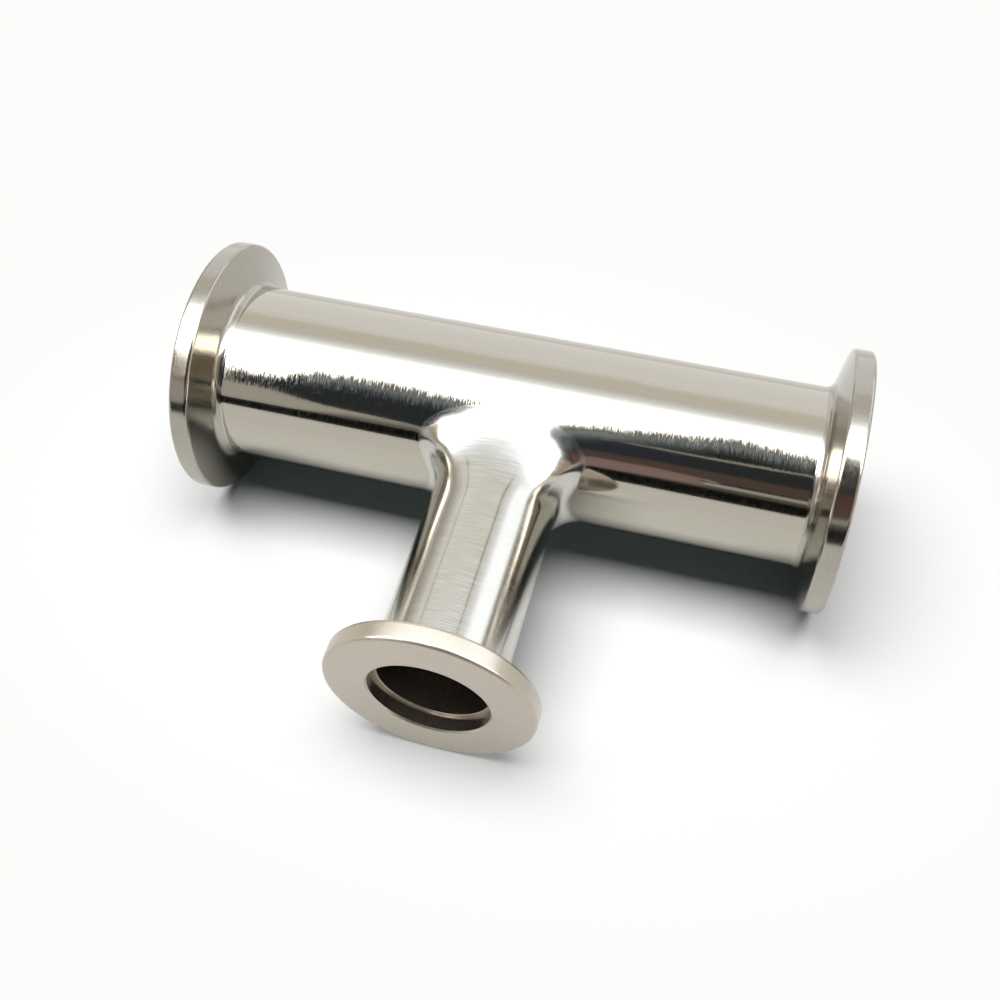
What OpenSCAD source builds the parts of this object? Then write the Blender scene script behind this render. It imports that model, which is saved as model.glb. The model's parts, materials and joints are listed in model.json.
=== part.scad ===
// Reducing clamp-flange tee in polished stainless steel.
// A straight run of tube has a clamp flange at each end, and a thinner branch leaves its middle
// through a blended collar and ends in a smaller flange. Flanges, tubes and collar are one piece of metal.
// The origin is where the two axes cross. X lies along the run and Z points up.
// The tee lies as it comes to rest, on the rims of its three flanges, with the branch towards -Y.

/* [Run] */
// Length of the run, from flange face to flange face
run_length = 100; // [80:1:160]
// Outside diameter of the run's tube
run_tube_d = 27.5; // [25:0.5:28.5]
// Outside diameter of the two run flanges
run_flange_d = 40; // [38:0.5:50]
// Diameter of the centring seat turned into each run flange
run_seat_d = 26.2; // [25.8:0.1:30]

/* [Branch] */
// Distance from the run's axis to the face of the branch flange
branch_length = 50; // [42:1:90]
// Outside diameter of the branch's tube
branch_tube_d = 18.5; // [16:0.5:19.5]
// Outside diameter of the branch flange
branch_flange_d = 30; // [27:0.5:36]
// Diameter of the centring seat turned into the branch flange
branch_seat_d = 17.2; // [16.8:0.1:20]

/* [Wall and collar] */
// Wall thickness of both tubes and of the collar
wall = 1.25; // [1:0.05:2]
// Outside radius of the collar's blend in the two corners along the run
collar_crown_r = 1.5; // [1:0.25:4]
// Outside radius of the collar's blend across the run, where the tubes meet at a flat angle
collar_saddle_r = 14; // [6:0.5:18]

/* [Flange section] */
// Thickness of each flange at its rim
rim_width = 3; // [2:0.1:4]
// Slope of each flange's back, from the plane of its face
back_slope = 15; // [10:1:20]
// Radius of the fillet between a flange's back and its tube
hub_r = 1.5; // [0.5:0.1:2]
// Radius on the two edges of each rim
edge_r = 0.6; // [0.1:0.05:0.9]
// Depth of the centring seats
seat_depth = 2.4; // [1.5:0.1:2.8]
// Chamfer at the mouth of each seat
lip_chamfer = 0.25; // [0.1:0.05:0.5]

/* [Hidden] */
$fn = 128;

run_tube_r = run_tube_d / 2;
run_flange_r = run_flange_d / 2;
branch_tube_r = branch_tube_d / 2;
branch_flange_r = branch_flange_d / 2;

// Steps round the collar and across its blend
collar_steps = 96;
blend_steps = 10;
// How far the blend sinks into both tubes, so that it crosses their walls at an angle
blend_sink = 0.04;
// How far a cut runs past the face that it opens
cut_past = 1;

// Distance from a corner to where a round of radius r starts, where a flange's back meets a wall along the axis
function corner_run(r) = r / tan((90 + back_slope) / 2);

// Angle by which the branch droops until its rim and the run's rims lie on one level surface
droop = asin((run_flange_r - edge_r) / norm([branch_length - edge_r, branch_flange_r - edge_r]))
    - atan2(branch_flange_r - edge_r, branch_length - edge_r);

polished_steel = [0.72, 0.70, 0.67];

// Half section of one flange and its hub: x is the radius, y the distance in from the sealing face
module flange_section(flange_r, tube_r) {
    hub_y = rim_width + (flange_r - tube_r) * tan(back_slope);
    edge_run = corner_run(edge_r);
    hub_run = corner_run(hub_r);
    fillet_centre = [tube_r + hub_r, hub_y + hub_run];
    // Rim and sloping back, with both edges of the rim cut off
    polygon([
        [0, 0],
        [flange_r - edge_r, 0],
        [flange_r, edge_r],
        [flange_r, rim_width - edge_run],
        [flange_r - edge_run * cos(back_slope), rim_width + edge_run * sin(back_slope)],
        [tube_r, hub_y],
        [0, hub_y]
    ]);
    // Rounds on the two edges
    for (y = [edge_r, rim_width - edge_run])
        translate([flange_r - edge_r, y]) circle(edge_r);
    // Fillet from the back to the tube
    difference() {
        polygon([
            fillet_centre,
            [tube_r + hub_run * cos(back_slope), hub_y - hub_run * sin(back_slope)],
            [tube_r - hub_r, rim_width],
            [tube_r, fillet_centre.y]
        ]);
        translate(fillet_centre) circle(hub_r);
    }
}

// The run as a solid bar with both flanges, along X
module run_bar() {
    rotate([0, 90, 0]) rotate_extrude() {
        translate([0, rim_width - run_length / 2])
            square([run_tube_r, run_length - 2 * rim_width]);
        for (end = [0, 1])
            mirror([0, end]) translate([0, -run_length / 2])
                flange_section(run_flange_r, run_tube_r);
    }
}

// The branch as a solid bar with its flange, up Z from the crossing of the axes
module branch_bar() {
    rotate_extrude() {
        square([branch_tube_r, branch_length - rim_width]);
        translate([0, branch_length]) mirror([0, 1])
            flange_section(branch_flange_r, branch_tube_r);
    }
}

// Radius of the ball that shapes the collar at one turn round the branch, from the crown radius along the run
// to the saddle radius across it. spare is added where the ball rolls inside the wall.
function ball_radius(turn, spare) =
    collar_crown_r + (collar_saddle_r - collar_crown_r) * pow(sin(turn), 2) + spare;

// One point of the blend that the ball leaves as it rolls in the corner between two crossed bars, of radius main_r
// along X and side_r up Z. turn goes round the side bar, and share goes across the blend.
function blend_point(main_r, side_r, spare, turn, share) =
    let (
        ball_r = ball_radius(turn, spare),
        reach = side_r + ball_r - blend_sink,
        across = reach * sin(turn),
        centre = [reach * cos(turn), across, sqrt(pow(main_r + ball_r - blend_sink, 2) - pow(across, 2))],
        to_side = [-cos(turn), -sin(turn), 0],
        to_main = -[0, centre.y, centre.z] / norm([centre.y, centre.z]),
        bend = acos(to_side * to_main)
    )
    centre + ball_r * (sin((1 - share) * bend) * to_side + sin(share * bend) * to_main) / sin(bend);

// Solid that fills the corner between the two crossed bars, closed inside both of them
module collar_fill(main_r, side_r, spare) {
    rows = blend_steps + 1;
    blend = [
        for (i = [0 : collar_steps - 1], j = [0 : blend_steps])
            blend_point(main_r, side_r, spare, 360 * i / collar_steps, j / blend_steps)
    ];
    top = len(blend);
    bottom = top + 1;
    corner_points = concat(blend, [[0, 0, main_r + collar_crown_r + spare], [0, 0, 0]]);
    corner_faces = [
        for (i = [0 : collar_steps - 1])
            let (here = i * rows, next = (i + 1) % collar_steps * rows)
            each concat(
                [[top, next, here], [bottom, here + blend_steps, next + blend_steps]],
                [for (j = [0 : blend_steps - 1]) each [
                    [here + j, next + j, next + j + 1],
                    [here + j, next + j + 1, here + j + 1]
                ]]
            )
    ];
    polyhedron(corner_points, corner_faces);
}

// Cut for the centring seat in a flange's face, which lies at z = 0 with the metal below it
module seat_cut(seat_d) {
    seat_r = seat_d / 2;
    translate([0, 0, -seat_depth]) cylinder(r = seat_r, h = seat_depth + cut_past);
    translate([0, 0, -lip_chamfer])
        cylinder(r1 = seat_r, r2 = seat_r + lip_chamfer + cut_past, h = lip_chamfer + cut_past);
}

// The passage through the tee: both bores, the inside of the collar and the three seats
module passage() {
    run_bore_r = run_tube_r - wall;
    branch_bore_r = branch_tube_r - wall;
    rotate([0, 90, 0]) cylinder(r = run_bore_r, h = run_length + 2 * cut_past, center = true);
    cylinder(r = branch_bore_r, h = branch_length + cut_past);
    collar_fill(run_bore_r, branch_bore_r, wall);
    for (side = [-90, 90])
        rotate([0, side, 0]) translate([0, 0, run_length / 2]) seat_cut(run_seat_d);
    translate([0, 0, branch_length]) seat_cut(branch_seat_d);
}

// The whole tee. It is made with the branch up Z and then laid down on its rims.
module tee_body() {
    color(polished_steel) rotate([90 + droop, 0, 0]) difference() {
        union() {
            run_bar();
            branch_bar();
            collar_fill(run_tube_r, branch_tube_r, 0);
        }
        passage();
    }
}

tee_body();
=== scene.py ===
# Reducing clamp-flange tee in polished stainless steel: a run of tube with a clamp flange on each end, and a
# thinner branch that leaves its middle and ends in a smaller flange. It lies on the rims of all three.
import json
import math

import bpy
from mathutils import Matrix, Vector


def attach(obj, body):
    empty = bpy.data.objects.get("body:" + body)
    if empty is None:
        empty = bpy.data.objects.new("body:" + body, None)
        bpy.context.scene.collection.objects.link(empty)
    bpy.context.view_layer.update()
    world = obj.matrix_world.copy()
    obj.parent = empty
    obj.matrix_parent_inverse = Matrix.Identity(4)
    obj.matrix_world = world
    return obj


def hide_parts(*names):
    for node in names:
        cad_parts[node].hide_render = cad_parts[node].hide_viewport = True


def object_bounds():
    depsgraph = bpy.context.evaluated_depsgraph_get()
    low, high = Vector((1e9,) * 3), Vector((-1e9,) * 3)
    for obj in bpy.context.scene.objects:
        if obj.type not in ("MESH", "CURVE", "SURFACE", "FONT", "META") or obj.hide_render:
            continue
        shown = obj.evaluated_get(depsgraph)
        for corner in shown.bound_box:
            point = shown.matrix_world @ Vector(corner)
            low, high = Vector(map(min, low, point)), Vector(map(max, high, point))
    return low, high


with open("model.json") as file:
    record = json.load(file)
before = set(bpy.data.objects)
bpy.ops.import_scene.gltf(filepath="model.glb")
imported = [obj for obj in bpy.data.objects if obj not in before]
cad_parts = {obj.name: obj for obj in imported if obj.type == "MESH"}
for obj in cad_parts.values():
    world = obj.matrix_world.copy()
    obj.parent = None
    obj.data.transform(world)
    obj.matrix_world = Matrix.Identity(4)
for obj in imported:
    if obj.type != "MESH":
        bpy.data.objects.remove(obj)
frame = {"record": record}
cad_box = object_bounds()


# Tube ends with their clamp flanges.
# Each is drawn stainless tube with a flange turned on a lathe and welded on: a flat sealing face, a stepped
# seat for the centring ring, a straight rim, and a back that slopes towards the tube for the clamp.
MM = 0.001
TUBE_WALL = 1.25 * MM
RIM_WIDTH = 3.0 * MM
BACK_SLOPE = math.radians(15)
HUB_ROUND = 1.5 * MM
EDGE_ROUND = 0.6 * MM
STEP_ROUND = 0.12 * MM
SEAT_DEPTH = 2.4 * MM
LIP_CHAMFER = 0.25 * MM
AROUND_RUN = 128
AROUND_BRANCH = 256
RUN_START = 18 * MM
BRANCH_START = 26 * MM

mounts = {mount["name"]: mount for mount in frame["record"]["mounts"]}


def mount_radius(name):
    return mounts[name]["dims"]["r_mm"] * MM


def mount_reach(name):
    """How far a mount lies from the crossing of the axes, along its own axis."""
    return Vector(mounts[name]["pos_m"]).dot(Vector(mounts[name]["axis"]))


def round_corner(before, corner, after, radius, steps):
    """Points of the arc that rounds a corner of a lathe section, from one side to the other."""
    into = (before - corner).normalized()
    out = (after - corner).normalized()
    half = into.angle(out) / 2
    centre = corner + (into + out).normalized() * radius / math.sin(half)
    first = corner + into * radius / math.tan(half) - centre
    last = corner + out * radius / math.tan(half) - centre
    return [centre + first.slerp(last, step / steps) * radius for step in range(steps + 1)]


def flange_section(tube_r, rim_r, seat_r, reach, start):
    """Corners of a tube end's half section as (radius, height, rounding), from the outside to the bore."""
    bore_r = tube_r - TUBE_WALL
    rim_back = reach - RIM_WIDTH
    hub = rim_back - (rim_r - tube_r) * math.tan(BACK_SLOPE)
    seat_end = reach - SEAT_DEPTH
    return [
        (tube_r, start, 0),
        (tube_r, hub, HUB_ROUND),
        (rim_r, rim_back, EDGE_ROUND),
        (rim_r, reach, EDGE_ROUND),
        (seat_r + LIP_CHAMFER, reach, 0),
        (seat_r, reach - LIP_CHAMFER, 0),
        (seat_r, seat_end, 0),
        (bore_r, seat_end, STEP_ROUND),
        (bore_r, start, 0),
    ]


def turn_tube_end(name, corners, around, corner_steps=6):
    """Turns a tube end on the Z axis: a ring is drawn out from step to step along the rounded section.
    Gives the piece, and the length along the section at each ring."""
    points = [Vector(corners[0][:2])]
    for before, corner, after in zip(corners, corners[1:], corners[2:]):
        place = Vector(corner[:2])
        if corner[2]:
            points += round_corner(Vector(before[:2]), place, Vector(after[:2]), corner[2], corner_steps)
        else:
            points.append(place)
    points.append(Vector(corners[-1][:2]))
    lengths = [0]

    bpy.ops.object.select_all(action="DESELECT")
    bpy.ops.mesh.primitive_circle_add(vertices=around, radius=points[0].x, location=(0, 0, 0))
    tube_end = bpy.context.object
    tube_end.name = name
    bpy.ops.object.mode_set(mode="EDIT")
    bpy.ops.mesh.select_all(action="SELECT")
    bpy.ops.transform.translate(value=(0, 0, points[0].y))
    for here, there in zip(points, points[1:]):
        bpy.ops.mesh.extrude_edges_move(TRANSFORM_OT_translate={"value": (0, 0, there.y - here.y)})
        grow = there.x / here.x
        bpy.ops.transform.resize(value=(grow, grow, 1), center_override=(0, 0, there.y))
        lengths.append(lengths[-1] + (there - here).length)
    bpy.ops.object.mode_set(mode="OBJECT")
    return tube_end, lengths


def face_span(face):
    """A face's distance from the Z axis and its height on it."""
    return math.hypot(face.center.x, face.center.y), face.center.z


RUN_TUBE, BRANCH_TUBE, FLANGE, FACE, BORE = range(5)


def mark_finish(sheet, finish_at):
    """Writes down the finish of each face, which finish_at(face) gives."""
    finish = sheet.data.attributes.new("finish", "INT", "FACE")
    for face in sheet.data.polygons:
        finish.data[face.index].value = finish_at(face)


def tube_end_finish(face, tube_r, reach, tube_finish, flange_finish):
    """Tells sealing face, rim and back of the flange, seat edges, bore and tube apart by their place."""
    radius, height = face_span(face)
    if height > reach - 0.1 * EDGE_ROUND:
        return FACE
    if radius > tube_r + 0.03 * HUB_ROUND:
        return flange_finish
    if radius > tube_r - 0.5 * TUBE_WALL and height < reach - RIM_WIDTH:
        return tube_finish
    on_edge = height > reach - LIP_CHAMFER or abs(height - reach + SEAT_DEPTH) < STEP_ROUND
    return FACE if on_edge else BORE


def turn_about_run(place):
    return math.atan2(place.y, place.z)


def turn_about_branch(place):
    return math.atan2(place.y, place.x)


def lay_grain(sheet, tube_r, turn_at, along, finish_only=None):
    """Lays the map that the metal's grain follows: u goes round a tube and v along it, both in metres.
    With finish_only it changes only the faces of that finish."""
    grain = sheet.data.uv_layers.active or sheet.data.uv_layers.new()
    grain.name = "grain"
    for face in sheet.data.polygons:
        if finish_only is not None and sheet.data.attributes["finish"].data[face.index].value != finish_only:
            continue
        middle = turn_at(face.center)
        for corner in face.loop_indices:
            point = sheet.data.vertices[sheet.data.loops[corner].vertex_index]
            turn = middle + math.remainder(turn_at(point.co) - middle, 2 * math.pi)
            grain.data[corner].uv = (turn * tube_r, along(point))


run_r = mount_radius("run_bore") + TUBE_WALL
branch_r = mount_radius("branch_bore") + TUBE_WALL
tube_ends = []
for side, around, tube_r, start, lean, hand, finish, flange_finish, turn_at in [
    ("run_right", AROUND_RUN, run_r, RUN_START, 90, 1, RUN_TUBE, FLANGE, turn_about_run),
    ("run_left", AROUND_RUN, run_r, RUN_START, -90, -1, RUN_TUBE, FLANGE, turn_about_run),
    ("branch", AROUND_BRANCH, branch_r, BRANCH_START, 0, 1, BRANCH_TUBE, FACE, turn_about_branch),
]:
    reach = mount_reach(side + "_face")
    corners = flange_section(tube_r, mount_radius(side + "_rim"), mount_radius(side + "_seat"), reach, start)
    tube_end, lengths = turn_tube_end(side + "_end", corners, around)
    mark_finish(tube_end, lambda face: tube_end_finish(face, tube_r, reach, finish, flange_finish))
    tube_end.rotation_euler = (0, math.radians(lean), 0)
    bpy.ops.object.transform_apply(rotation=True)
    lay_grain(tube_end, tube_r, turn_at, lambda point: hand * (start + lengths[point.index // around]))
    tube_ends.append(tube_end)


# Collar where the branch leaves the run.
# The run's wall is drawn out into a short neck, the branch is welded on, and the weld is ground and polished
# until the tubes flow into each other, as if a ball had rolled in their corner, inside the wall as outside.
CROWN_ROUND = 1.5 * MM
SADDLE_ROUND = 14.0 * MM
SOFT_WIDEN = 1.1
SOFT_STEP = 0.3
SADDLE_FLARE = 6.0 * MM
FLAT_ROWS = 12
BLEND_ROWS = 20
NECK_ROWS = 3
BACK_TURN = math.pi / 2


def square_step(turn):
    """Where a turn about the branch meets the edge of a square patch, as two numbers from -1 to 1."""
    eighth = turn / (math.pi / 4)
    side = round(eighth / 2) % 4
    along = eighth - 2 * round(eighth / 2)
    return [(1, along), (-along, 1), (-1, -along), (along, -1)][side]


def collar_point(run_r, branch_r, spare, turn, row):
    """A point of the collar: rows go from the patch on the run, over the blend, to the ring on the branch."""
    ball_r = SOFT_WIDEN * (CROWN_ROUND + (SADDLE_ROUND - CROWN_ROUND) * math.sin(turn) ** 2 + spare)
    ball_x = (branch_r + ball_r) * math.cos(turn)
    ball_y = (branch_r + ball_r) * math.sin(turn)
    ball_z = math.sqrt((run_r + ball_r) ** 2 - ball_y**2)
    ball = Vector((ball_x, ball_y, ball_z))
    flare = Vector((0, 0, SADDLE_FLARE * math.sin(turn) ** 2))
    if row <= FLAT_ROWS:
        edge_x, edge_turn = square_step(turn)
        share = row / FLAT_ROWS
        x = edge_x * RUN_START + (ball_x - edge_x * RUN_START) * share
        roll_at_ball = math.asin(ball_y / (run_r + ball_r))
        roll = edge_turn * BACK_TURN + (roll_at_ball - edge_turn * BACK_TURN) * share
        return Vector((x, run_r * math.sin(roll), run_r * math.cos(roll)))
    if row <= FLAT_ROWS + BLEND_ROWS:
        to_run = Vector((0, -ball_y, -ball_z)).normalized()
        to_branch = Vector((-ball_x, -ball_y, 0)).normalized()
        corner = ball_r * math.tan(to_run.angle(to_branch) / 2)
        low = ball + to_run * ball_r
        high = ball + to_branch * ball_r + flare
        off_run = (to_branch - to_run * to_run.dot(to_branch)).normalized() * SOFT_STEP * corner
        off_branch = Vector((0, 0, -SOFT_STEP * (corner + flare.z)))
        pull = [low, low + off_run, low + 2 * off_run, high + 2 * off_branch, high + off_branch, high]
        share = (row - FLAT_ROWS) / BLEND_ROWS
        weights = [math.comb(5, knot) * share**knot * (1 - share) ** (5 - knot) for knot in range(6)]
        return sum((weight * knot for weight, knot in zip(weights, pull)), Vector((0, 0, 0)))
    share = (row - FLAT_ROWS - BLEND_ROWS) / NECK_ROWS
    height = ball_z + flare.z + (BRANCH_START - ball_z - flare.z) * share
    return Vector((branch_r * math.cos(turn), branch_r * math.sin(turn), height))


def lay_grid(name, columns, rows, place, finish_at):
    """Adds a grid, gives each row of faces its finish, and lays each point where place(column, row) says."""
    bpy.ops.object.select_all(action="DESELECT")
    bpy.ops.mesh.primitive_grid_add(x_subdivisions=columns, y_subdivisions=rows, size=2)
    sheet = bpy.context.object
    sheet.name = name
    mark_finish(sheet, lambda face: finish_at(int((face.center.y + 1) / 2 * rows)))
    for point in sheet.data.vertices:
        column = round((point.co.x + 1) / 2 * columns)
        row = round((point.co.y + 1) / 2 * rows)
        point.co = place(column, row)
    return sheet


def length_down_collar(column, row):
    """Length along the collar's outside from the branch's end of it down to a row."""
    turn = 2 * math.pi * column / AROUND_BRANCH
    rows = range(row, FLAT_ROWS + BLEND_ROWS + NECK_ROWS + 1)
    steps = [collar_point(run_r, branch_r, 0, turn, step) for step in rows]
    return sum((there - here).length for here, there in zip(steps, steps[1:]))


def outer_finish(row):
    return RUN_TUBE if row < FLAT_ROWS else BRANCH_TUBE


middle = []
for label, wall_run_r, wall_branch_r, spare, collar_finish, back_finish in [
    ("outer", run_r, branch_r, 0, outer_finish, lambda row: RUN_TUBE),
    ("inner", run_r - TUBE_WALL, branch_r - TUBE_WALL, TUBE_WALL, lambda row: BORE, lambda row: BORE),
]:
    def on_collar(column, row):
        turn = 2 * math.pi * (column % AROUND_BRANCH) / AROUND_BRANCH
        return collar_point(wall_run_r, wall_branch_r, spare, turn, row)

    def on_back(column, row):
        roll = BACK_TURN + 2 * math.pi * row / AROUND_RUN
        x = RUN_START * (2 * column / (AROUND_BRANCH // 4) - 1)
        return Vector((x, wall_run_r * math.sin(roll), wall_run_r * math.cos(roll)))

    def along_collar(point):
        row, column = divmod(point.index, AROUND_BRANCH + 1)
        return BRANCH_START - length_down_collar(column, row)

    rows = FLAT_ROWS + BLEND_ROWS + NECK_ROWS
    collar = lay_grid(label + "_collar", AROUND_BRANCH, rows, on_collar, collar_finish)
    back = lay_grid(label + "_back", AROUND_BRANCH // 4, AROUND_RUN // 2, on_back, back_finish)
    lay_grain(collar, wall_run_r, turn_about_run, lambda point: point.co.x)
    lay_grain(collar, wall_branch_r, turn_about_branch, along_collar, BRANCH_TUBE)
    lay_grain(back, wall_run_r, turn_about_run, lambda point: point.co.x)
    middle += [collar, back]


# The finished body.
# Tube ends and collar are one welded piece with its seams ground flush, so here they are joined into one
# closed skin and turned down until the branch lies on its rim.
MERGE_WITHIN = 0.002 * MM
SHARP_FROM = math.radians(30)
bpy.ops.object.select_all(action="DESELECT")
for sheet in tube_ends + middle:
    sheet.select_set(True)
body = tube_ends[0]
bpy.context.view_layer.objects.active = body
bpy.ops.object.join()
body.name = "tee_polished"
bpy.ops.object.mode_set(mode="EDIT")
bpy.ops.mesh.select_all(action="SELECT")
bpy.ops.mesh.remove_doubles(threshold=MERGE_WITHIN)
bpy.ops.mesh.normals_make_consistent(inside=False)
bpy.ops.object.mode_set(mode="OBJECT")
branch_axis = Vector(mounts["branch_face"]["axis"])
body.rotation_euler = (math.atan2(-branch_axis.y, branch_axis.z), 0, 0)
bpy.ops.object.transform_apply(rotation=True)
bpy.ops.object.shade_smooth_by_angle(angle=SHARP_FROM)
even_normals = body.modifiers.new("even_normals", "WEIGHTED_NORMAL")
even_normals.keep_sharp = True
bpy.ops.object.modifier_apply(modifier=even_normals.name)


# Finishes of the steel.
# The run is polished on a belt nearly to a mirror, branch and collar on a wheel. The run's flanges keep the
# lathe's fine rings under a polish, the branch's flange and all sealing faces are satin, and the bores dull.
def hex_colour(code):
    """An sRGB hex colour as linear red, green, blue and alpha."""
    parts = [int(code[at : at + 2], 16) / 255 for at in (1, 3, 5)]
    return [((part + 0.055) / 1.055) ** 2.4 if part > 0.04045 else part / 12.92 for part in parts] + [1]


def add_node(tree, kind, settings=None, links=None):
    """Adds a node, sets its properties or sockets by name, and links its inputs to other nodes' outputs."""
    node = tree.nodes.new(kind)
    for name, value in (settings or {}).items():
        if isinstance(name, int) or name in node.inputs:
            node.inputs[name].default_value = value
        else:
            setattr(node, name, value)
    for name, source in (links or {}).items():
        tree.links.new(source, node.inputs[name])
    return node


def new_material(name):
    material = bpy.data.materials.new(name)
    material.use_nodes = True
    material.node_tree.nodes.clear()
    return material


def per(width, length):
    """Scale of a pattern whose marks have these sizes along the first and the second axis of its map."""
    return (1 / width, 1 / length, 1)


# Stainless tube polished on a belt: a mirror with fine lines along it, and hairs round it that fray the edges
# of reflections below the top of the tube. Both are drawn wider than the real grit leaves them, so that they
# show. The hairs begin higher up on the right half.
HAIR_SIZE = (1.6 * MM, 0.09 * MM)
HAIR_LEAN = 0.034
HAIR_FADE = 1.5 * MM
HAIRS_RISE_X = (-25 * MM, 10 * MM)
HAIRS_FROM = (7.0 * MM, 9.5 * MM)
HAIRS_END = (11.0 * MM, 12.4 * MM)
LINE_SIZE = (0.2 * MM, 14 * MM)
LINE_DEPTH = 0.00012 * MM
run_steel = new_material("belt_polished_stainless_run")
tree = run_steel.node_tree
grain = add_node(tree, "ShaderNodeUVMap", {"uv_map": "grain"}).outputs["UV"]
tangent = add_node(tree, "ShaderNodeTangent", {
    "direction_type": "UV_MAP", "uv_map": "grain"}).outputs["Tangent"]
hair_place = add_node(tree, "ShaderNodeMapping", {
    "Scale": per(*HAIR_SIZE)}, {"Vector": grain}).outputs["Vector"]
hairs = add_node(tree, "ShaderNodeTexNoise", {
    "noise_dimensions": "2D", "Scale": 1.0, "Detail": 3.0, "Roughness": 0.65}, {
    "Vector": hair_place}).outputs[0]
gloss = add_node(tree, "ShaderNodeMapRange", {
    "From Min": 0.52, "From Max": 0.76, "To Min": 0.055, "To Max": 0.15}, {"Value": hairs}).outputs["Result"]
line_place = add_node(tree, "ShaderNodeMapping", {
    "Scale": per(*LINE_SIZE)}, {"Vector": grain}).outputs["Vector"]
lines = add_node(tree, "ShaderNodeTexNoise", {
    "noise_dimensions": "2D", "Scale": 1.0, "Detail": 3.0, "Roughness": 0.6}, {
    "Vector": line_place}).outputs[0]
place = add_node(tree, "ShaderNodeTexCoord").outputs["Object"]
place = add_node(tree, "ShaderNodeSeparateXYZ", links={"Vector": place}).outputs
height = place["Z"]
hairs_from = add_node(tree, "ShaderNodeMapRange", {
    "From Min": HAIRS_RISE_X[0], "From Max": HAIRS_RISE_X[1],
    "To Min": HAIRS_FROM[0], "To Max": HAIRS_FROM[1]}, {"Value": place["X"]}).outputs["Result"]
upper = add_node(tree, "ShaderNodeMath", {"operation": "SUBTRACT"}, {0: height, 1: hairs_from}).outputs[0]
upper = add_node(tree, "ShaderNodeMapRange", {"From Max": HAIR_FADE}, {"Value": upper}).outputs["Result"]
below_top = add_node(tree, "ShaderNodeMapRange", {
    "From Min": HAIRS_END[0], "From Max": HAIRS_END[1], "To Min": 1.0, "To Max": 0.15}, {
    "Value": height}).outputs["Result"]
hairy = add_node(tree, "ShaderNodeMath", {"operation": "MULTIPLY"}, {0: upper, 1: below_top}).outputs[0]
lean = add_node(tree, "ShaderNodeMapRange", {
    "From Min": 0.3, "From Max": 0.7, "To Min": -HAIR_LEAN, "To Max": HAIR_LEAN}, {
    "Value": hairs}).outputs["Result"]
lean = add_node(tree, "ShaderNodeMath", {"operation": "MULTIPLY_ADD", 2: 0.5}, {0: lean, 1: hairy}).outputs[0]
lean = add_node(tree, "ShaderNodeCombineXYZ", {"Y": 0.5, "Z": 1.0}, {"X": lean}).outputs["Vector"]
lean = add_node(tree, "ShaderNodeNormalMap", {"uv_map": "grain"}, {"Color": lean}).outputs["Normal"]
relief = add_node(tree, "ShaderNodeBump", {"Strength": 1.0, "Distance": LINE_DEPTH}, {
    "Height": lines, "Normal": lean}).outputs["Normal"]
tint = add_node(tree, "ShaderNodeMapRange", {
    "From Min": 0.35, "From Max": 0.65}, {"Value": lines}).outputs["Result"]
colour = add_node(tree, "ShaderNodeMixRGB", {
    "Color1": hex_colour("#b2ada1"), "Color2": hex_colour("#b5b0a4")}, {"Fac": tint}).outputs["Color"]
shader = add_node(tree, "ShaderNodeBsdfPrincipled", {"Metallic": 1.0, "Anisotropic": 0.8}, {
    "Base Color": colour, "Roughness": gloss, "Normal": relief, "Tangent": tangent})
add_node(tree, "ShaderNodeOutputMaterial", links={"Surface": shader.outputs["BSDF"]})

# Branch and collar were polished with a wheel that went round them: faint rings, drawn coarser than real so
# that they show, which draw reflections out along the branch and down the collar.
RING_SIZE = (5 * MM, 0.14 * MM)
RING_DEPTH = 0.0002 * MM
branch_steel = new_material("turned_and_polished_stainless_branch")
tree = branch_steel.node_tree
grain = add_node(tree, "ShaderNodeUVMap", {"uv_map": "grain"}).outputs["UV"]
tangent = add_node(tree, "ShaderNodeTangent", {
    "direction_type": "UV_MAP", "uv_map": "grain"}).outputs["Tangent"]
ring_place = add_node(tree, "ShaderNodeMapping", {
    "Scale": per(*RING_SIZE)}, {"Vector": grain}).outputs["Vector"]
rings = add_node(tree, "ShaderNodeTexNoise", {
    "noise_dimensions": "2D", "Scale": 1.0, "Detail": 3.0, "Roughness": 0.65}, {
    "Vector": ring_place}).outputs[0]
gloss = add_node(tree, "ShaderNodeMapRange", {
    "From Min": 0.3, "From Max": 0.7, "To Min": 0.11, "To Max": 0.2}, {"Value": rings}).outputs["Result"]
relief = add_node(tree, "ShaderNodeBump", {
    "Strength": 1.0, "Distance": RING_DEPTH}, {"Height": rings}).outputs["Normal"]
tint = add_node(tree, "ShaderNodeMapRange", {
    "From Min": 0.35, "From Max": 0.65}, {"Value": rings}).outputs["Result"]
colour = add_node(tree, "ShaderNodeMixRGB", {
    "Color1": hex_colour("#bebcb5"), "Color2": hex_colour("#c4c2bb")}, {"Fac": tint}).outputs["Color"]
shader = add_node(tree, "ShaderNodeBsdfPrincipled", {
    "Metallic": 1.0, "Anisotropic": 0.6, "Anisotropic Rotation": 0.25}, {
    "Base Color": colour, "Roughness": gloss, "Normal": relief, "Tangent": tangent})
add_node(tree, "ShaderNodeOutputMaterial", links={"Surface": shader.outputs["BSDF"]})

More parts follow.
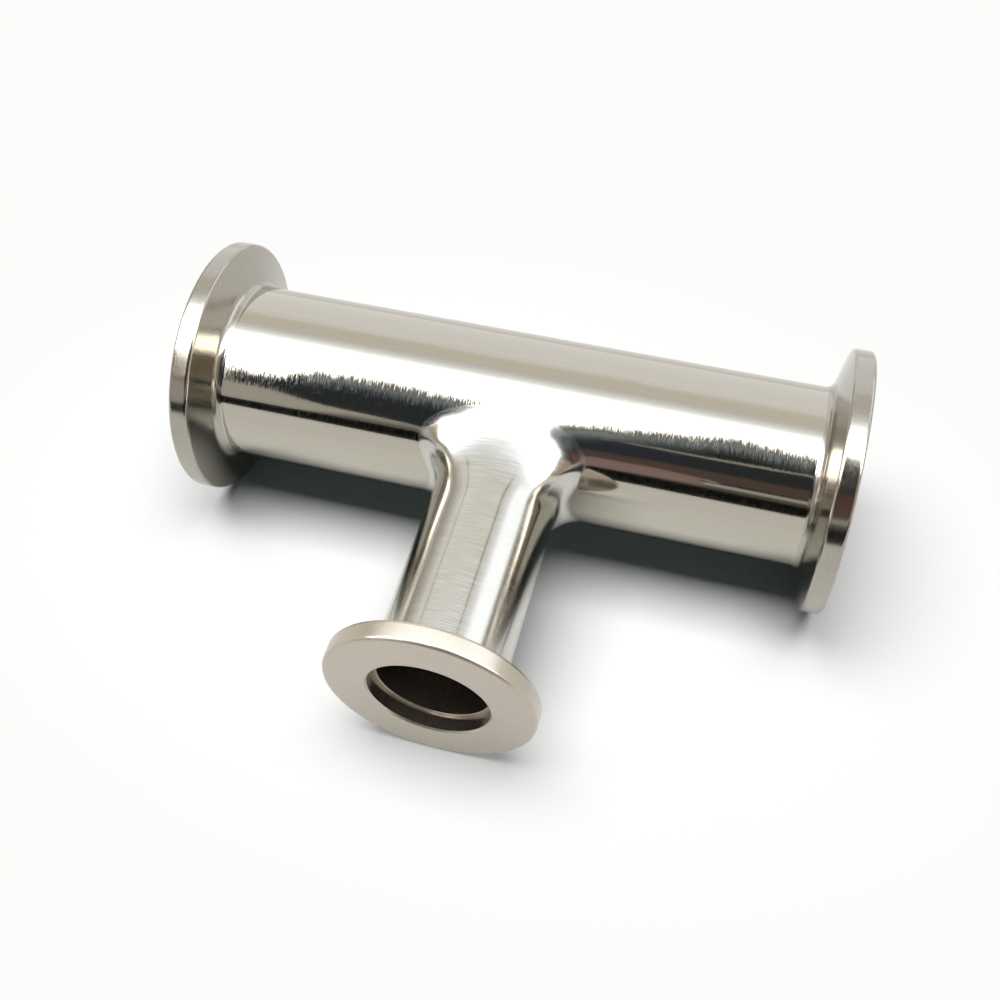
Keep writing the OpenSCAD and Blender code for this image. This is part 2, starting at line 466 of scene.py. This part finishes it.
# Flanges turned on a lathe: rings 0.15 mm apart, coarser than the real feed so that they show, under a fine
# speckle. Rim and back of the run's flanges are polished afterwards. Their sealing faces, the edges of all
# seats and the whole branch flange are left satin.
TURNED_RING_SIZE = (30 * MM, 0.15 * MM)
SPECKLE_SIZE = 0.35 * MM
flange_finishes = []
for name, dull, bright, relief_depth, pale, deep in [
    ("turned_and_polished_stainless_flange", 0.2, 0.13, 0.0003, "#aaa59b", "#a39e94"),
    ("turned_satin_stainless_face", 0.36, 0.28, 0.0012, "#bdb5a9", "#b5ada1"),
]:
    flange_steel = new_material(name)
    tree = flange_steel.node_tree
    grain = add_node(tree, "ShaderNodeUVMap", {"uv_map": "grain"}).outputs["UV"]
    tangent = add_node(tree, "ShaderNodeTangent", {
        "direction_type": "UV_MAP", "uv_map": "grain"}).outputs["Tangent"]
    ring_place = add_node(tree, "ShaderNodeMapping", {
        "Scale": per(*TURNED_RING_SIZE)}, {"Vector": grain}).outputs["Vector"]
    rings = add_node(tree, "ShaderNodeTexNoise", {
        "noise_dimensions": "2D", "Scale": 1.0, "Detail": 2.0, "Roughness": 0.6}, {
        "Vector": ring_place}).outputs[0]
    place = add_node(tree, "ShaderNodeTexCoord").outputs["Object"]
    speckle = add_node(tree, "ShaderNodeTexNoise", {
        "Scale": 1 / SPECKLE_SIZE, "Detail": 2.0, "Roughness": 0.7}, {"Vector": place}).outputs[0]
    worn = add_node(tree, "ShaderNodeMath", {"operation": "ADD"}, {0: rings, 1: speckle}).outputs[0]
    gloss = add_node(tree, "ShaderNodeMapRange", {
        "From Min": 0.7, "From Max": 1.3, "To Min": bright, "To Max": dull}, {
        "Value": worn}).outputs["Result"]
    relief = add_node(tree, "ShaderNodeBump", {
        "Strength": 1.0, "Distance": relief_depth * MM}, {"Height": worn}).outputs["Normal"]
    tint = add_node(tree, "ShaderNodeMapRange", {
        "From Min": 0.35, "From Max": 0.65}, {"Value": speckle}).outputs["Result"]
    colour = add_node(tree, "ShaderNodeMixRGB", {
        "Color1": hex_colour(deep), "Color2": hex_colour(pale)}, {"Fac": tint}).outputs["Color"]
    shader = add_node(tree, "ShaderNodeBsdfPrincipled", {
        "Metallic": 1.0, "Anisotropic": 0.6, "Anisotropic Rotation": 0.25}, {
        "Base Color": colour, "Roughness": gloss, "Normal": relief, "Tangent": tangent})
    add_node(tree, "ShaderNodeOutputMaterial", links={"Surface": shader.outputs["BSDF"]})
    flange_finishes.append(flange_steel)

# The inside of the tubes and the walls of the seats have had no polish: duller, with faint lines along them,
# drawn
# 0.3 mm wide, which is coarser than real, so that they show. Their colour is darker and browner than the
# outside:
# partly the unpolished steel, partly painted shade inside the tubes and seats.
BORE_LINE_SIZE = (0.3 * MM, 9 * MM)
BORE_LINE_DEPTH = 0.0002 * MM
bore_steel_with_painted_shade = new_material("drawn_stainless_bore_with_painted_shade")
tree = bore_steel_with_painted_shade.node_tree
grain = add_node(tree, "ShaderNodeUVMap", {"uv_map": "grain"}).outputs["UV"]
line_place = add_node(tree, "ShaderNodeMapping", {
    "Scale": per(*BORE_LINE_SIZE)}, {"Vector": grain}).outputs["Vector"]
lines = add_node(tree, "ShaderNodeTexNoise", {
    "noise_dimensions": "2D", "Scale": 1.0, "Detail": 3.0}, {"Vector": line_place}).outputs[0]
gloss = add_node(tree, "ShaderNodeMapRange", {
    "From Min": 0.3, "From Max": 0.7, "To Min": 0.2, "To Max": 0.26}, {"Value": lines}).outputs["Result"]
relief = add_node(tree, "ShaderNodeBump", {
    "Strength": 1.0, "Distance": BORE_LINE_DEPTH}, {"Height": lines}).outputs["Normal"]
# The base colour is kept dark in part as painted shade inside the bores and seats.
shader = add_node(tree, "ShaderNodeBsdfPrincipled", {
    "Base Color": hex_colour("#a59a8c"), "Metallic": 1.0}, {"Roughness": gloss, "Normal": relief})
add_node(tree, "ShaderNodeOutputMaterial", links={"Surface": shader.outputs["BSDF"]})

for finish in (run_steel, branch_steel, *flange_finishes, bore_steel_with_painted_shade):
    body.data.materials.append(finish)
for face, finish in zip(body.data.polygons, body.data.attributes["finish"].data):
    face.material_index = finish.value
body.data.attributes.remove(body.data.attributes["finish"])

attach(body, "root")
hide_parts("tee_body")


# Table.
# A plain painted white table top that the tee lies on. It keeps the tee's shadow within an oval, and outside
# that it fades to an even white, also in the steel.
TABLE_SIZE = 3.0
SHADOW_SIZE = (55 * MM, 40 * MM)
SHADOW_REACH = 0.95
WHITE_FROM = 1.9
floor_z = cad_box[0].z
bpy.ops.object.select_all(action="DESELECT")
bpy.ops.mesh.primitive_plane_add(size=TABLE_SIZE, location=(0, 0, floor_z))
table = bpy.context.object
table.name = "table"
table_white = new_material("matt_white_table")
tree = table_white.node_tree
paint = add_node(tree, "ShaderNodeBsdfDiffuse", {"Color": hex_colour("#f6f6f4")}).outputs["BSDF"]
even_white = add_node(tree, "ShaderNodeEmission", {
    "Color": hex_colour("#fcfcfa"), "Strength": 1.0}).outputs["Emission"]
place = add_node(tree, "ShaderNodeTexCoord").outputs["Object"]
place = add_node(tree, "ShaderNodeMapping", {"Scale": per(*SHADOW_SIZE)}, {"Vector": place}).outputs["Vector"]
distance = add_node(tree, "ShaderNodeVectorMath", {"operation": "LENGTH"}, {0: place}).outputs["Value"]
far = add_node(tree, "ShaderNodeMapRange", {
    "From Min": SHADOW_REACH, "From Max": WHITE_FROM}, {"Value": distance}).outputs["Result"]
path = add_node(tree, "ShaderNodeLightPath").outputs
seen = add_node(tree, "ShaderNodeMath", {"operation": "MAXIMUM"}, {
    0: path["Is Camera Ray"], 1: path["Is Glossy Ray"]}).outputs[0]
share = add_node(tree, "ShaderNodeMath", {"operation": "MULTIPLY"}, {0: far, 1: seen}).outputs[0]
surface = add_node(tree, "ShaderNodeMixShader", links={0: share, 1: paint, 2: even_white}).outputs["Shader"]
# After a diffuse bounce the table counts as darker, so that the shadows stay deep.
dim = add_node(tree, "ShaderNodeBsdfDiffuse", {"Color": hex_colour("#6e7a7c")}).outputs["BSDF"]
thrown = add_node(tree, "ShaderNodeMath", {
    "operation": "GREATER_THAN", 1: 0.5}, {0: path["Diffuse Depth"]}).outputs[0]
surface = add_node(tree, "ShaderNodeMixShader", links={0: thrown, 1: surface, 2: dim}).outputs["Shader"]
add_node(tree, "ShaderNodeOutputMaterial", links={"Surface": surface})
table.data.materials.append(table_white)


# Studio.
# One wide softbox overhead lights the tee. The steel also mirrors a room of boards that only reflections see:
# a grey wall and a dark stand in front, curtains beside them, a window on the right and pale walls behind.
def stand_board(name, points, faces, colour, strength=1.0):
    """A thin board of an even brightness that shows only in reflections."""
    mesh = bpy.data.meshes.new(name)
    mesh.from_pydata(points, [], faces)
    board = bpy.data.objects.new(name, mesh)
    bpy.context.scene.collection.objects.link(board)
    paint = new_material(name)
    depth = add_node(paint.node_tree, "ShaderNodeLightPath").outputs["Diffuse Depth"]
    direct = add_node(paint.node_tree, "ShaderNodeMath", {
        "operation": "LESS_THAN", 1: 0.5}, {0: depth}).outputs[0]
    level = add_node(paint.node_tree, "ShaderNodeMath", {
        "operation": "MULTIPLY", 1: strength}, {0: direct}).outputs[0]
    glow = add_node(paint.node_tree, "ShaderNodeEmission", {"Color": hex_colour(colour)}, {"Strength": level})
    add_node(paint.node_tree, "ShaderNodeOutputMaterial", links={"Surface": glow.outputs["Emission"]})
    mesh.materials.append(paint)
    board.visible_camera = False
    board.visible_diffuse = False
    board.visible_shadow = False
    board.visible_transmission = False
    board.visible_volume_scatter = False


BOARD_STEPS = 8


def bend_board_round_run(name, radius, stations, colour, strength=1.0):
    """A board bent round the run's axis. Each station gives x in millimetres and the angles of the board's
    lower and upper edge above the horizon in front, in degrees."""
    points = []
    for x, low, high in stations:
        for step in range(BOARD_STEPS + 1):
            rise = math.radians(low + (high - low) * step / BOARD_STEPS)
            points.append((x * MM, -radius * math.cos(rise), radius * math.sin(rise)))
    faces = []
    for station in range(len(stations) - 1):
        for step in range(BOARD_STEPS):
            here = station * (BOARD_STEPS + 1) + step
            there = here + BOARD_STEPS + 1
            faces.append((here, there, there + 1, here + 1))
    stand_board(name, points, faces, colour, strength)


def bend_board_round_branch(name, radius, turns, depths, colour, strength=1.0):
    """A board bent round the Y axis, beside the branch, between two turns in degrees and two depths."""
    points = []
    for step in range(BOARD_STEPS + 1):
        turn = math.radians(turns[0] + (turns[1] - turns[0]) * step / BOARD_STEPS)
        for depth in depths:
            points.append((radius * math.cos(turn), depth, radius * math.sin(turn)))
    faces = [(2 * step, 2 * step + 1, 2 * step + 3, 2 * step + 2) for step in range(BOARD_STEPS)]
    stand_board(name, points, faces, colour, strength)


# Boards that overlap differ a little in radius, and the one with the smaller radius hides the other.
bend_board_round_run("table_edge", 0.213, [(-900, -6.6, -5.3), (500, -6.6, -5.3)], "#ffffff", 1.6)
bend_board_round_run("gap_before_table", 0.225, [
    (-900, -5.3, 3), (-171, -5.3, 3), (-120, -5.3, 5.5), (-60, -5.3, 8), (500, -5.3, 7)], "#0d0c09")
bend_board_round_run("grey_wall", 0.32, [
    (-900, 0, 28), (-150, 0, 28), (-130, 0, 20), (500, 0, 20)], "#d0cec8")
bend_board_round_run("grey_wall_shade", 0.319, [
    (-145, 1, 6), (-120, 1, 13), (-60, 1, 15.5), (-20, 1, 15)], "#aba9a3")
bend_board_round_run("grey_wall_foot", 0.318, [
    (-150, 1, 3), (-120, 1, 10), (-60, 1, 12.5), (500, 1, 11)], "#807f7a")
bend_board_round_run("right_wall_foot", 0.316, [
    (-18, 1, 2), (-5, 1, 8), (30, 1, 11), (500, 1, 11)], "#5c5b56")
bend_board_round_run("brown_stand", 0.314, [(-26, 5, 21), (-10, 9, 21), (27, 10, 21)], "#a58e8c")
stand = [
    (-171, 29, 34), (-169, 26, 40), (-164, 25.6, 37), (-157, 25.6, 35), (-149, 25, 37), (-143, 23, 43),
    (-135, 20, 50), (-125, 17.5, 54), (-112, 17, 55.5), (-85, 15, 54), (-66, 15.5, 52), (-54, 16, 46),
    (-42, 17, 40), (-24, 19, 47), (-10, 20, 52), (4, 20.5, 57), (12, 20.5, 59), (22, 19.5, 61),
    (30, 18, 65), (35, 16.5, 66.4), (45, 16, 65), (65, 16.5, 61), (110, 17, 57), (200, 18, 53)]
bend_board_round_run("dark_stand", 0.3, stand, "#33393d")
# A glow above the stand and a grading below its upper edge make that edge soft.
HALO_LIFT = 4
HALO_STEP = 1.3
SHEEN_DROP = 14
SHEEN_STEP = 2.9
for step, strength in enumerate([0.1, 0.19, 0.34, 0.6, 0.95, 1.45]):
    rise = HALO_STEP * (step + 1)
    halo = [(x, low + HALO_LIFT, high + rise) for x, low, high in stand]
    bend_board_round_run("stand_halo_%d" % step, 0.301 + 0.001 * step, halo, "#f2f6ff", strength)
bend_board_round_run("stand_top", 0.299, [
    (10, 46, 56), (20, 45.5, 59), (30, 45, 63), (35, 45, 65), (45, 45, 63.5), (70, 46, 59)], "#2a2d2c")
for step, level in enumerate(["#424a4f", "#555e64", "#6e787f", "#8b959c", "#a9b3ba"]):
    sheen = [(x, high - SHEEN_DROP + SHEEN_STEP * step, high) for x, low, high in stand[6:-2]]
    bend_board_round_run("stand_sheen_%d" % step, 0.2988 - 0.0001 * step, sheen, level)
bend_board_round_run("stand_edge", 0.298, [
    (-5, 43.6, 44.2), (25, 43.4, 45), (45, 44, 46), (70, 45.5, 47)], "#d0d0cc")
bend_board_round_run("stand_slot", 0.298, [(20, 41, 43.2), (45, 42, 43.8), (62, 43.2, 45)], "#151715")
bend_board_round_run("stand_blue", 0.298, [(-16, 24, 42), (5, 24, 42.5), (20, 24, 42)], "#363a46")
bend_board_round_run("stand_foot", 0.297, [
    (-24, 19, 27), (10, 20.5, 29), (30, 18.5, 29), (70, 17, 29)], "#63554f")
bend_board_round_run("stand_red", 0.2975, [(70, 19, 37), (130, 19, 36)], "#7c4a48")
bend_board_round_run("left_curtain", 0.3, [(-900, 24, 52), (-176, 24, 50)], "#b9a58e")
bend_board_round_run("right_curtain", 0.34, [(215, 2, 62), (900, 2, 62)], "#b5a28c")
bend_board_round_run("stand_line", 0.296, [(25, 15.4, 16.8), (70, 15.6, 17.4)], "#12110e")
SOFTBOX_TOP = 89
SOFTBOX_RIM_STEP = 1.9
bend_board_round_run("softbox_face", 0.36, [(-900, 24, SOFTBOX_TOP), (900, 24, SOFTBOX_TOP)], "#ffffff", 8)
for step, strength in enumerate([4.5, 3.0, 2.3, 1.9, 1.65, 1.45, 1.3, 1.2, 1.1]):
    low = SOFTBOX_TOP + SOFTBOX_RIM_STEP * step
    high = low + SOFTBOX_RIM_STEP
    bend_board_round_run(
        "softbox_rim_%d" % step, 0.36, [(-900, low, high), (900, low, high)], "#f4f8ff", strength)
FADE_STEP = 2.5
bend_board_round_run("back_wall", 1.0, [(-800, 132, 180), (400, 132, 180)], "#fbfcff", 1.3)
for step, strength in enumerate([1.06, 1.12, 1.18, 1.24]):
    low = 122 + FADE_STEP * step
    high = low + FADE_STEP
    bend_board_round_run(
        "back_wall_fade_%d" % step, 1.0, [(-800, low, high), (400, low, high)], "#fdfdfa", strength)
bend_board_round_run("back_rail", 0.99, [(-800, 126, 127), (400, 128, 129)], "#ffffff", 1.36)
WALL_DEPTHS = (-0.2, 1.1)
bend_board_round_branch("right_window", 0.8, (25, 50), WALL_DEPTHS, "#f4f8ff", 2.0)
for step, strength in enumerate([1.8, 1.55, 1.35, 1.2, 1.1]):
    low = 50 + FADE_STEP * step
    bend_board_round_branch(
        "window_fade_%d" % step, 0.8, (low, low + FADE_STEP), WALL_DEPTHS, "#f8faff", strength)
bend_board_round_branch("window_frame", 0.78, (67.5, 70), (0.2, 0.62), "#7c7c78")
bend_board_round_branch("window_sill", 0.78, (15.5, 21.5), (0.3, 0.56), "#8e8e88")
LEFT_WALL_STEP = 5
for step, level in enumerate(["#ece8e1", "#dcd7ce", "#ccc5ba", "#beb6a9"]):
    low = 142 + LEFT_WALL_STEP * step
    bend_board_round_branch("left_wall_%d" % step, 0.8, (low, low + LEFT_WALL_STEP), WALL_DEPTHS, level)
bend_board_round_branch("left_wall_edge", 0.78, (162, 165), WALL_DEPTHS, "#8c8478")
bend_board_round_branch("left_wall_line", 0.78, (131, 133), (-0.2, 0.5), "#a4a49e")


def aim_lamp(name, place, target, width, depth, glow):
    """An area lamp with an even brightness, given as the radiance that its face has."""
    lamp = bpy.data.lights.new(name, "AREA")
    lamp.shape = "RECTANGLE"
    lamp.size = width
    lamp.size_y = depth
    lamp.energy = glow * math.pi * width * depth
    holder = bpy.data.objects.new(name, lamp)
    bpy.context.scene.collection.objects.link(holder)
    holder.location = place
    holder.rotation_euler = (Vector(target) - Vector(place)).to_track_quat("-Z", "Y").to_euler()
    holder.visible_glossy = False


aim_lamp(
    "overhead_softbox", place=(-0.1, -0.08, 0.95), target=(-0.1, -0.08, 0), width=1.0, depth=0.6, glow=6.6)

FILL_LEVEL = 0.09
world = bpy.data.worlds.new("studio")
bpy.context.scene.world = world
world.use_nodes = True
tree = world.node_tree
tree.nodes.clear()
path = add_node(tree, "ShaderNodeLightPath").outputs
seen = add_node(tree, "ShaderNodeMath", {"operation": "MAXIMUM"}, {
    0: path["Is Camera Ray"], 1: path["Is Glossy Ray"]}).outputs[0]
seen = add_node(tree, "ShaderNodeMath", {"operation": "MAXIMUM"}, {
    0: seen, 1: path["Is Transmission Ray"]}).outputs[0]
direct = add_node(tree, "ShaderNodeMath", {
    "operation": "LESS_THAN", 1: 0.5}, {0: path["Diffuse Depth"]}).outputs[0]
seen = add_node(tree, "ShaderNodeMath", {"operation": "MULTIPLY"}, {0: seen, 1: direct}).outputs[0]
level = add_node(tree, "ShaderNodeMapRange", {
    "To Min": FILL_LEVEL, "To Max": 1.0}, {"Value": seen}).outputs["Result"]
room_colour = add_node(tree, "ShaderNodeMixRGB", {
    "Color1": hex_colour("#e4f2f6"), "Color2": hex_colour("#fffdf3")}, {"Fac": seen}).outputs["Color"]
colour = add_node(tree, "ShaderNodeMixRGB", {"Color2": hex_colour("#fcfcfa")}, {
    "Fac": path["Is Camera Ray"], "Color1": room_colour}).outputs["Color"]
sky = add_node(tree, "ShaderNodeBackground", links={"Color": colour, "Strength": level})
add_node(tree, "ShaderNodeOutputWorld", links={"Surface": sky.outputs["Background"]})


# Camera.
# It stands where the photograph was taken from: close by, to the right of the branch, and looking down at
# about 48 degrees.
camera = bpy.data.cameras.new("photo_camera")
camera.angle = math.radians(45.443)
camera.clip_start = 0.01
holder = bpy.data.objects.new("photo_camera", camera)
bpy.context.scene.collection.objects.link(holder)
holder.location = Vector((31.142, -131.144, 130.713)) * MM
heading = Matrix.Rotation(math.radians(14.751), 3, "Z")
tilt = Matrix.Rotation(math.radians(42.112), 3, "X")
roll = Matrix.Rotation(math.radians(0.540), 3, "Z")
holder.rotation_euler = (heading @ tilt @ roll).to_euler()
bpy.context.scene.camera = holder
bpy.context.scene.view_settings.view_transform = "Standard"
